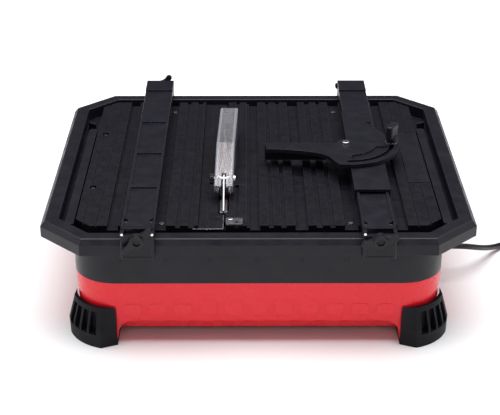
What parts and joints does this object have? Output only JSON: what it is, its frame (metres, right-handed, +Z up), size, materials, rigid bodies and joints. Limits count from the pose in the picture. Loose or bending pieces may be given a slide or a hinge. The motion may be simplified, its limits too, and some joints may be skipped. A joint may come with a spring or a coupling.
{
  "type": "tile cutter",
  "caption": "Table-top wet tile saw with a red water tub, ribbed table, clear blade guard, parallel fence rails and a mitre gauge.",
  "frame": {"origin": "on the floor, under the centre of the deck", "axes": "+X to the right along the front, +Y to the rear, +Z up"},
  "size_m": [0.7801, 0.552, 0.2035],
  "materials": {
    "red_plastic": "glossy moulded red",
    "black_plastic": "satin moulded black",
    "black_knob": "fine satin black",
    "rubber": "matte",
    "table_cast": "satin dark grey coating",
    "steel": "satin zinc plated",
    "screw_steel": "bright plated",
    "clear_plastic": "clear, frosted edges",
    "dull_zinc": "dull zinc plating",
    "blade_steel": "ground",
    "blade_rim": "bronze-bonded grit",
    "motor_paint": "cast, plain",
    "cord": "satin sheath"
  },
  "bodies": {
    "saw_body": {"water_tub": "red_plastic", "drain_plug": "rubber", "foot_front_left": "rubber", "foot_front_right": "rubber", "foot_rear_left": "rubber", "foot_rear_right": "rubber", "upper_housing": "black_plastic", "deck": "black_plastic", "deck_screws": "screw_steel", "table_left": "table_cast", "table_right": "table_cast", "slot_plate_left": "table_cast", "slot_plate_right": "table_cast", "table_screws": "dull_zinc", "table_frame": "table_cast", "motor_case": "motor_paint", "motor_stator": "steel", "front_bearing_seat": "motor_paint", "rear_bearing_seat": "motor_paint", "motor_bay": "black_plastic", "riving_knife": "steel", "knife_jaw_left": "dull_zinc", "knife_jaw_right": "dull_zinc", "knife_bracket": "dull_zinc", "bracket_screw": "screw_steel", "switch_box": "black_plastic", "cord_gland": "rubber", "cord_lead": "cord", "cord_coil": "cord", "cord_tail": "cord", "plug": "rubber"},
    "spindle": {"blade_core": "blade_steel", "blade_rim": "blade_rim", "inner_flange": "steel", "outer_flange": "steel", "arbor_nut": "steel", "motor_shaft": "steel"},
    "guard": {"guard_shell": "clear_plastic", "guard_nose": "clear_plastic", "guard_bolt": "screw_steel"},
    "guard_side_knob": {"guard_knob": "black_knob"},
    "left_fence": {"left_rail": "black_plastic", "left_front_clamp": "black_plastic", "left_rear_clamp": "black_plastic", "left_fence_screws": "screw_steel"},
    "right_fence": {"right_rail": "black_plastic", "right_front_clamp": "black_plastic", "right_rear_clamp": "black_plastic", "right_fence_screws": "screw_steel"},
    "left_front_screw": {"left_front_wing": "black_knob"},
    "left_rear_screw": {"left_rear_wing": "black_knob"},
    "right_front_screw": {"right_front_wing": "black_knob"},
    "right_rear_screw": {"right_rear_wing": "black_knob"},
    "carriage": {"gauge_carriage": "black_plastic", "gauge_pivot_screw": "screw_steel"},
    "mitre_arm": {"gauge_arm": "black_plastic"},
    "mitre_knob": {"gauge_knob": "black_knob", "gauge_washer": "steel"},
    "switch": {"switch_rocker": "red_plastic"}
  },
  "joints": [
    {"name": "blade_spin", "type": "hinge", "parent": "saw_body", "child": "spindle", "pos_m": [-0.045, 0, 0.0985], "axis": [1, 0, 0], "continuous": true},
    {"name": "guard_tilt", "type": "hinge", "parent": "saw_body", "child": "guard", "pos_m": [-0.045, -0.116, 0.171], "axis": [0.9997, -0.0244, 0], "range_deg": [0, 25]},
    {"name": "guard_knob_turn", "type": "hinge", "parent": "guard", "child": "guard_side_knob", "pos_m": [-0.045, -0.116, 0.171], "axis": [0.9997, -0.0244, 0], "continuous": true},
    {"name": "left_fence_slide", "type": "slide", "parent": "saw_body", "child": "left_fence", "axis": [1, 0, 0], "range_m": [-0.045, 0.055]},
    {"name": "right_fence_slide", "type": "slide", "parent": "saw_body", "child": "right_fence", "axis": [1, 0, 0], "range_m": [-0.035, 0.045]},
    {"name": "left_front_screw_turn", "type": "hinge", "parent": "left_fence", "child": "left_front_screw", "pos_m": [-0.1495, -0.265, 0.157], "axis": [0, 1, 0], "continuous": true},
    {"name": "left_rear_screw_turn", "type": "hinge", "parent": "left_fence", "child": "left_rear_screw", "pos_m": [-0.1495, 0.265, 0.157], "axis": [0, 1, 0], "continuous": true},
    {"name": "right_front_screw_turn", "type": "hinge", "parent": "right_fence", "child": "right_front_screw", "pos_m": [0.1482, -0.265, 0.157], "axis": [0, 1, 0], "continuous": true},
    {"name": "right_rear_screw_turn", "type": "hinge", "parent": "right_fence", "child": "right_rear_screw", "pos_m": [0.1482, 0.265, 0.157], "axis": [0, 1, 0], "continuous": true},
    {"name": "gauge_slide", "type": "slide", "parent": "right_fence", "child": "carriage", "axis": [0, 1, 0], "range_m": [-0.1, 0.09]},
    {"name": "gauge_swivel", "type": "hinge", "parent": "carriage", "child": "mitre_arm", "pos_m": [0.1224, -0.0082, 0.174], "axis": [0, 0, 1], "range_deg": [0, 45]},
    {"name": "gauge_knob_turn", "type": "hinge", "parent": "carriage", "child": "mitre_knob", "pos_m": [0.1858, -0.0066, 0.18], "axis": [0, 0, 1], "continuous": true},
    {"name": "switch_rock", "type": "hinge", "parent": "saw_body", "child": "switch", "pos_m": [0.251, 0.065, 0.104], "axis": [0, 1, 0], "range_deg": [-5, 5]}
  ]
}
